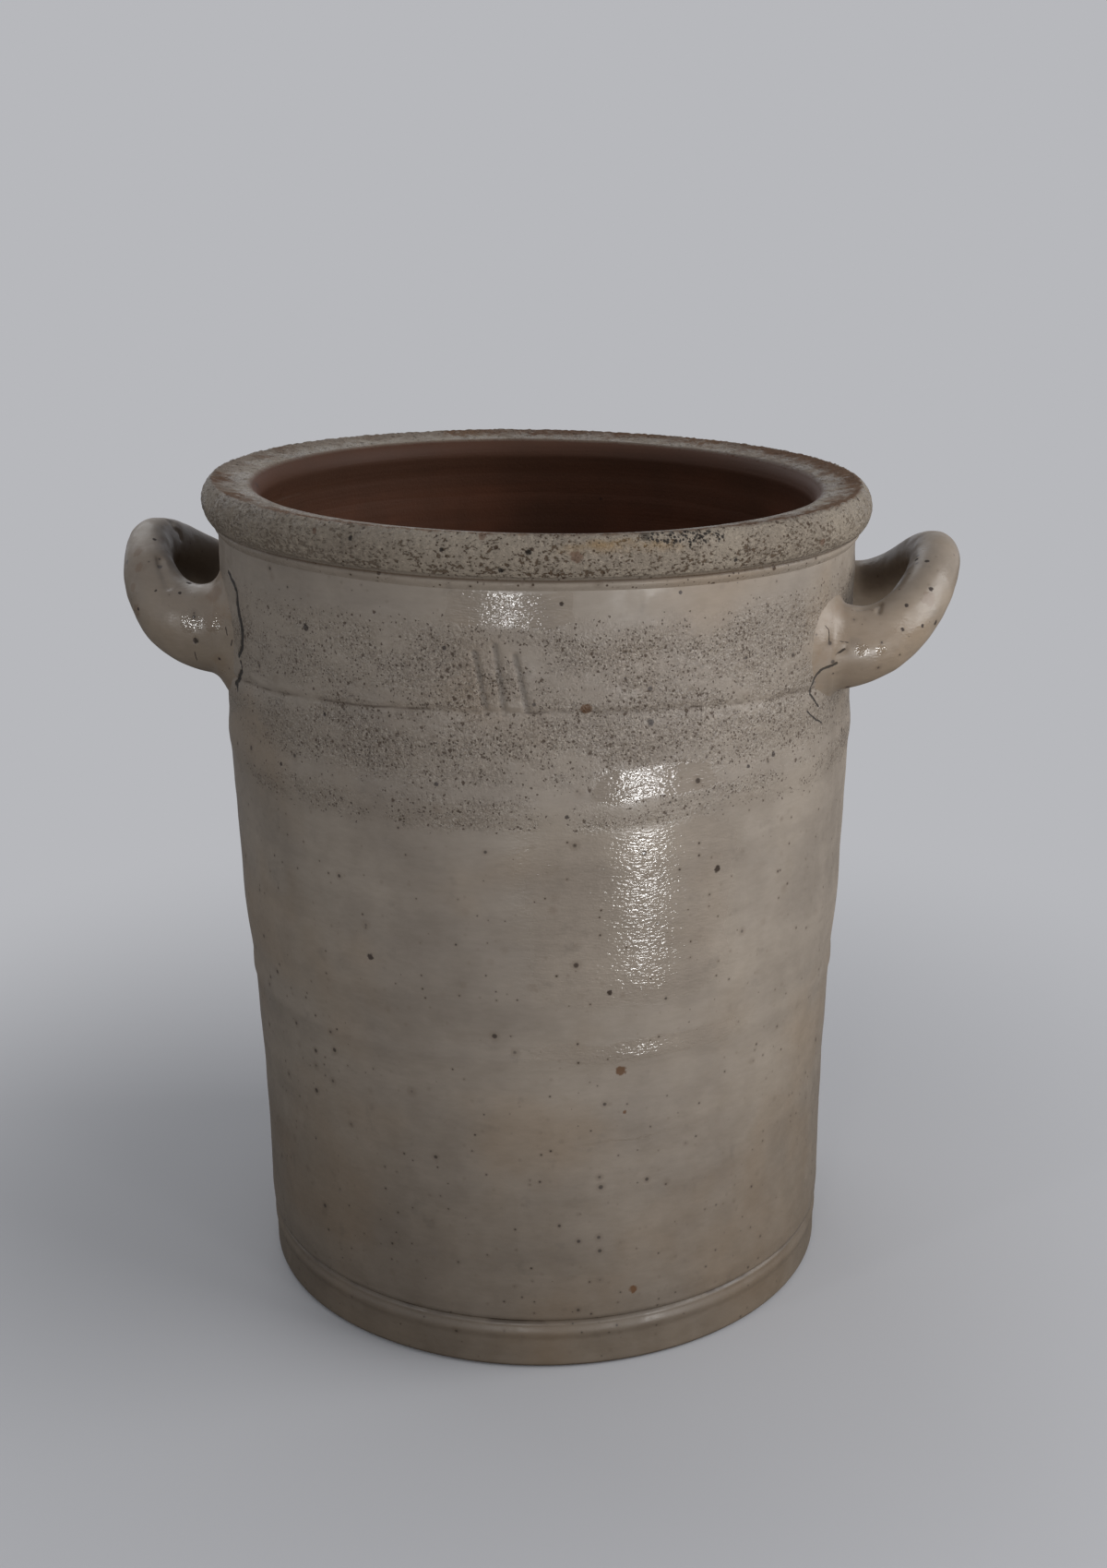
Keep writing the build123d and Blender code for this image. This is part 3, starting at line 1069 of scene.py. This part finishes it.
# the collar's sizes in mm, heights over its seat
collarPlan = {
    "height": 23.0,
    "radius": 146.2,
    "topRadius": 141.6,
    "widestHeight": 14.0,
    "undercutHeight": 5.4,
    "undercutRadius": 142.6,
    "funnelDrop": 2.6,
    "lipCrestRadius": 127.0,
    "mouthRadius": 121.2,
    "mouthHeight": 12.5,
    # slip lies within the first radius, and within the second below this height over the floor
    "slip": (123.5, 130, 350),
    # beyond the wall's inner face and over the seat, up the throat
    "throat": ((0.9, -15.0), (-0.4, -4.0), (-1.4, 3.0)),
    # beyond the wall's face and over the seat: a hollow, a thin bead and a feathered edge
    "foot": (
        *((2.3, 5.3), (1.5, 5.0), (1.4, 4.6), (1.7, 4.1), (1.8, 3.5)),
        *((1.6, 2.8), (1.1, 2.1), (0.5, 1.3), (-0.2, 0.4), (-1.4, -0.8)),
    ),
    "form": {
        "Radius": 146.2,
        "Columns": 800,
        "Sway": 0.9 * mm,
        "Ridge Depth": 0.4 * mm,
        "Ridge Height": 5 * mm,
        "Ridge Low": 0.35,
        "Ridge High": 0.39,
        "Ridge Fade": 4 * mm,
        "Scab Depth": 0.5 * mm,
        "Scab Size": 2.6 * mm,
        "Dry All Over": 1.0,
        "Dry Low": 0.356,
        "Smooth Within": 0.1275,
        "Outset": 0.6 * mm,
        "Sag": sagSlope,
        "Sag From": 0.3,
        "Sag To": 0.32,
        "Seed": 8.0,
        "Finish": collarClay,
    },
}


def makeRimCollar():
    # its lower edges lap over the wall inside and outside, smoothed down by the potter's thumb
    s = collarPlan
    inner, wall = wallSize["insideAtShoulder"], wallSize["shoulderRadius"]
    mouth = (s["mouthRadius"], s["mouthHeight"])
    lipCrest = (s["lipCrestRadius"], s["height"] - s["funnelDrop"])
    crest = (s["topRadius"], s["height"])
    widest = (s["radius"], s["widestHeight"])
    outline = divided([(inner + out, up) for out, up in s["throat"]] + [mouth], 1.3)
    for i in range(1, 13):
        turn = pi / 2 * i / 12
        inset = (lipCrest[0] - mouth[0]) * cos(turn)
        outline.append((lipCrest[0] - inset, mouth[1] + (lipCrest[1] - mouth[1]) * sin(turn)))
    outline = onward(outline, crest, 1.1)
    outline += quarter(widest, crest, 9)[-2::-1]
    outline += quarter(widest, (s["undercutRadius"], s["undercutHeight"]), 9)[1:]
    outline += [(wall + out, up) for out, up in s["foot"]]
    outline = [(r, z + wallSize["seatHeight"]) for r, z in outline]
    piece = throwPiece("rimCollar", outline, s["form"])
    # below the lip's turn the slip inside is the wall's own
    piece.data.materials.append(brownSlip)
    within, lowWithin, lowTop = [value * mm for value in s["slip"]]
    for face in piece.data.polygons:
        away = sqrt(face.center.x**2 + face.center.y**2)
        if away < within or (away < lowWithin and face.center.z < lowTop):
            face.material_index = 1
    return piece


footPlan = {
    "radius": 131.6,
    "thickness": 23.0,
    "edgeRound": 2.6,
    "beadWidth": 8.0,
    "beadProud": 0.8,
    "seamDepth": 1.8,
    "seamLip": 1.6,
    "ledge": 0.5,  # the bead's top, inside the foot's radius
    "form": {
        "Radius": 131.6,
        "Columns": 600,
        "Sway": 0.5 * mm,
        "Ridge Depth": 0.3 * mm,
        "Ridge Low": 0.0,
        "Ridge High": 0.02,
        "Ridge Fade": 2 * mm,
        "Outset": 0.1 * mm,
        "Seed": 11.0,
        "Finish": footGlaze,
    },
}


def makeFootSlab():
    s = footPlan
    radius, rounding, ledge = s["radius"], s["edgeRound"], s["ledge"]
    beadTop = s["thickness"] - s["seamLip"]
    outline = divided([(0.0, s["thickness"]), (radius - s["seamDepth"], s["thickness"])], 4.0)
    outline = onward(outline, (radius - ledge, beadTop), 0.8)
    for i in range(1, 13):
        share = i / 12
        swell = s["beadProud"] * 0.5 * (1 - cos(2 * pi * share))
        outline.append((radius - ledge + swell + ledge * share, beadTop - s["beadWidth"] * share))
    outline = onward(outline, (radius, rounding), 1.5)
    for i in range(1, 7):
        turn = pi / 2 * i / 6
        outline.append((radius - rounding * (1 - cos(turn)), rounding * (1 - sin(turn))))
    return throwPiece("footSlab", onward(outline, (0.0, 0.0), 8.0), s["form"], closed=False)


marks = makeMarks()
wallOutside = makeWallOutside(marks)
wallInside = makeWallInside()
rimCollar = makeRimCollar()
footSlab = makeFootSlab()
bpy.data.objects.remove(marks)
print("thrown pieces made")

# ears, pulled by hand and luted on: sizes in mm and degrees
leftEar = {
    "side": 180,
    "belowSeat": 41.2,
    "halfSpan": 42.0,
    "reach": 42.0,
    "rise": 25.0,
    "gripHeight": 29.2,
    "rootHeight": 44.0,
    "rootWidth": 39.0,
    "fillet": 6.0,
    "outerFillet": 1.0,  # how much wider the fillet is on the root's outer side
    "lumps": 1.0,
    "seed": 2.0,
    # creases left by fingers: depth and width, then each point
    "creases": (
        (1.0, 2.6, (-162.7, -33.3, 333.6), (-160.7, -38.5, 330.3), (-157.8, -42.9, 326.9)),
        (1.0, 2.6, (-157.8, -42.9, 326.9), (-155.4, -46.5, 324.0)),
        (0.9, 2.4, (-169.2, 9.8, 342.2), (-167.0, 6.0, 340.0), (-165.5, 9.3, 337.4), (-164.6, 7.9, 335.1)),
        (1.2, 1.8, (-141.6, -58.3, 303.3), (-141.6, -58.3, 303.4)),
    ),
}
rightEar = {
    "side": 0,
    "belowSeat": 38.0,
    "halfSpan": 49.0,
    "reach": 43.8,
    "rise": 29.2,
    "gripHeight": 23.0,
    "rootHeight": 41.0,
    "rootWidth": 33.0,
    "fillet": 4.0,
    "outerFillet": 2.8,
    "lumps": 0.9,
    "seed": 6.0,
    "creases": (
        (1.0, 2.2, (138.0, -52.0, 318.6), (142.1, -50.0, 319.8), (147.8, -47.6, 321.0)),
        (0.9, 1.8, (148.4, -48.0, 321.1), (147.3, -53.4, 318.8)),
        (0.6, 1.6, (133.8, -64.0, 305.5), (130.7, -64.6, 304.0), (124.3, -65.8, 300.0)),
    ),
}
earShared = {
    "gripDepth": 22.8,
    "reachPower": 0.7,
    "risePower": 1.9,
    "flarePower": 0.5,
    "buried": 3.0,  # how deep in the wall the clay ends
    "stations": 190,
    "sides": 96,
    "endSteps": 12,  # stations run on behind the wall's face
    "endStep": 1.2,
}


def earCentre(ear, turn):
    rootX = sqrt(wallSize["shoulderRadius"] ** 2 - ear["halfSpan"] ** 2)
    out = max(sin(turn), 0.0)
    x = rootX + ear["reach"] * out ** earShared["reachPower"]
    z = ear["rise"] * out ** earShared["risePower"] - ear["belowSeat"]
    return Vector((x, -ear["halfSpan"] * cos(turn), z))


def earStations(ear):
    # the place, heading and turn of each section, closer together towards the roots, where the
    # clay is smoothed onto the wall
    count = earShared["stations"]
    turns = [pi * (0.5 - 0.5 * cos(pi * i / count)) for i in range(count + 1)]
    centres = [earCentre(ear, turn) for turn in turns]
    headings = []
    for i in range(count + 1):
        headings.append((centres[min(i + 1, count)] - centres[max(i - 1, 0)]).normalized())
    before, after = [], []
    for i in range(1, earShared["endSteps"] + 1):
        deep = i * earShared["endStep"]
        before.insert(0, (centres[0] - headings[0] * deep, headings[0], 0.0))
        after.append((centres[-1] + headings[-1] * deep, headings[-1], pi))
    return before + list(zip(centres, headings, turns)) + after


def filletPush(gap, fillet):
    # how far the clay is drawn out along the wall: a quarter round that ends in a feathered edge
    edge = 0.12 * fillet
    if gap >= fillet:
        return 0.0
    if gap > edge:
        return fillet - sqrt(fillet**2 - (fillet - gap) ** 2)
    side = sqrt(fillet**2 - (fillet - edge) ** 2)
    return fillet - side + (edge - gap) * (fillet - edge) / side


def creaseDepth(point, creases):
    # how deep a point lies in the deepest crease there
    depth = 0.0
    for deep, width, *path in creases:
        for start, end in zip(path, path[1:]):
            start, end = Vector(start), Vector(end)
            along = end - start
            share = min(max((point - start).dot(along) / along.length_squared, 0), 1)
            away = (point - start - along * share).length
            if away < width:
                depth = max(depth, deep * 0.5 * (1 + cos(pi * away / width)))
    return depth


def lumpiness(spot):
    return (noise.noise(spot) * 0.5 + 0.5) * 1.1 + (noise.noise(spot * 4) * 0.5 + 0.5) * 0.35


def earSection(ear, station, turned):
    # the points round one section
    place, heading, turn = station
    sides, buried = earShared["sides"], earShared["buried"]
    across = heading.cross(Vector((0, 0, 1))).normalized()
    upward = across.cross(heading).normalized()
    rootShare = 1 - max(sin(turn), 0.0) ** earShared["flarePower"]
    height = ear["gripHeight"] + (ear["rootHeight"] - ear["gripHeight"]) * rootShare
    depth = earShared["gripDepth"] + (ear["rootWidth"] - earShared["gripDepth"]) * rootShare
    points = []
    for j in range(sides):
        angle = 2 * pi * j / sides
        point = place + across * cos(angle) * depth / 2 + upward * sin(angle) * height / 2
        normal = (across * cos(angle) * height + upward * sin(angle) * depth).normalized()
        point -= normal * lumpiness(point * 0.045 + Vector((ear["seed"], 0, 0))) * ear["lumps"]
        out = Vector((point.x, point.y, 0)).normalized()
        gap = sqrt(point.x**2 + point.y**2) - wallSize["shoulderRadius"]
        if gap < -buried:
            slide = (-buried - gap) / max(abs(heading.dot(out)), 0.3)
            point += heading * slide * (1 if heading.dot(out) > 0 else -1)
            gap = -buried
        along = (normal - out * normal.dot(out)).normalized()
        outer = max(normal.y * (1 if point.y > 0 else -1), 0.0)
        point += along * filletPush(gap, ear["fillet"] * (1 + (ear["outerFillet"] - 1) * outer**2))
        points.append(point - normal * creaseDepth(turned @ point, ear["creases"]))
    return points


def makeEar(name, ear):
    seat = Matrix.Translation((0, 0, wallSize["seatHeight"]))
    seat = seat @ Matrix.Rotation(radians(wallSize["sagDegrees"]), 4, "Y")
    turned = seat @ Matrix.Rotation(radians(ear["side"]), 4, "Z")
    sides = earShared["sides"]
    points = []
    for station in earStations(ear):
        points += earSection(ear, station, turned)
    last = len(points) - sides
    faces = []
    for first in range(0, last, sides):
        for j in range(sides):
            k = (j + 1) % sides
            faces.append((first + j, first + k, first + sides + k, first + sides + j))
    points += [sum(points[:sides], Vector()) / sides, sum(points[last:], Vector()) / sides]
    for j in range(sides):
        k = (j + 1) % sides
        faces += [(k, j, last + sides), (last + j, last + k, last + sides + 1)]
    mesh = bpy.data.meshes.new(name)
    placed = Matrix.Scale(mm, 4) @ turned
    mesh.from_pydata([placed @ point for point in points], [], faces)
    mesh.materials.append(earGlaze)
    mesh.shade_smooth()
    return linked(name, mesh)


leftPiece = makeEar("earLeft", leftEar)
rightPiece = makeEar("earRight", rightEar)
print("ears made")

# what each piece stands for
for piece, node, slot in (
    (wallOutside, "thrown_wall", "salt_glaze"),
    (wallInside, "thrown_wall", "salt_glaze"),
    (rimCollar, "rim_collar", "rim_clay"),
    (footSlab, "floor_slab", "salt_glaze"),
    (leftPiece, "left_handle", "salt_glaze"),
    (rightPiece, "right_handle", "salt_glaze"),
):
    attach(piece, "root")
    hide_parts(node)
    print(piece.name, len(piece.data.polygons), "faces")

# floor, backdrop and light
stageLook = {
    "floor": srgb(200, 200, 203),
    "bounce": srgb(112, 110, 108),
    "backdrop": srgb(183, 184, 188),
    "sky": srgb(232, 236, 242),
    "ambient": 0.36,
    "floorRadius": 4,  # metres
}


def makeFloor():
    mesh = bpy.data.meshes.new("floor")
    count, reach = 96, stageLook["floorRadius"]
    turns = [2 * pi * i / count for i in range(count)]
    points = [(0, 0, 0)] + [(reach * cos(turn), reach * sin(turn), 0) for turn in turns]
    mesh.from_pydata(points, [], [(0, i + 1, (i + 1) % count + 1) for i in range(count)])
    material, shader, place = newMaterial("paleFloor")
    tree = place.tree
    # the camera sees a pale floor, and less light comes back from it to the crock
    seen = made(tree, "ShaderNodeLightPath", output="Is Camera Ray")
    connect(mixColour(seen, stageLook["bounce"], stageLook["floor"]), shader.inputs["Base Color"])
    shader.inputs["Roughness"].default_value = 0.8
    # far off, the camera alone sees it in the backdrop's colour
    away = fade(vecCalc("LENGTH", place), 0.2, 0.6)
    glow = made(tree, "ShaderNodeEmission", {"Color": stageLook["backdrop"], "Strength": 1.0})
    values = {0: away * seen, 1: Wire(tree, shader.outputs[0]), 2: glow}
    output = next(node for node in tree.nodes if node.type == "OUTPUT_MATERIAL")
    connect(made(tree, "ShaderNodeMixShader", values), output.inputs[0])
    mesh.materials.append(material)
    floor = linked("floor", mesh)


def makeWorld():
    world = bpy.data.worlds.new("studio")
    scene.world = world
    world.use_nodes = True
    tree = world.node_tree
    tree.nodes.clear()
    path = tree.nodes.new("ShaderNodeLightPath").outputs
    seen = largest(*[Wire(tree, path[ray]) for ray in ("Is Camera Ray", "Is Glossy Ray")])
    values = {"Color": stageLook["backdrop"], "Strength": 1.0}
    backdrop = made(tree, "ShaderNodeBackground", values)
    values = {"Color": stageLook["sky"], "Strength": stageLook["ambient"]}
    ambient = made(tree, "ShaderNodeBackground", values)
    mixed = made(tree, "ShaderNodeMixShader", {0: seen, 1: ambient, 2: backdrop})
    connect(mixed, tree.nodes.new("ShaderNodeOutputWorld").inputs[0])


# bearing and lift in degrees and distance in metres from the crock's middle, then size and power
lamps = {
    "window": {"bearing": -50, "lift": -7, "distance": 0.9, "width": 0.14, "height": 0.15, "power": 1.6},
    "side": {"bearing": -8, "lift": 24, "distance": 1.6, "width": 1.2, "height": 1.2, "power": 14.5},
    "front": {"bearing": -94, "lift": -1, "distance": 1.1, "width": 0.1, "height": 0.12, "power": 1.05},
    "left": {"bearing": -133, "lift": 13, "distance": 1.4, "width": 0.08, "height": 0.08, "power": 1.1},
    "back": {"bearing": 125, "lift": 40, "distance": 1.8, "width": 1.3, "height": 1.3, "power": 4.5},
}
lampTarget = (0, 0, 0.2)


def makeLamps():
    for name, lamp in lamps.items():
        data = bpy.data.lights.new(name, "AREA")
        data.shape = "RECTANGLE"
        data.size = lamp["width"]
        data.size_y = lamp["height"]
        data.energy = lamp["power"]
        light = linked(name, data)
        bearing, lift = radians(lamp["bearing"]), radians(lamp["lift"])
        way = Vector((cos(bearing) * cos(lift), sin(bearing) * cos(lift), sin(lift)))
        light.location = Vector(lampTarget) + way * lamp["distance"]
        light.rotation_euler = way.to_track_quat("Z", "Y").to_euler()
        light.visible_camera = False


makeFloor()
makeWorld()
makeLamps()
scene.view_settings.view_transform = "Standard"
print("stage and lamps set")
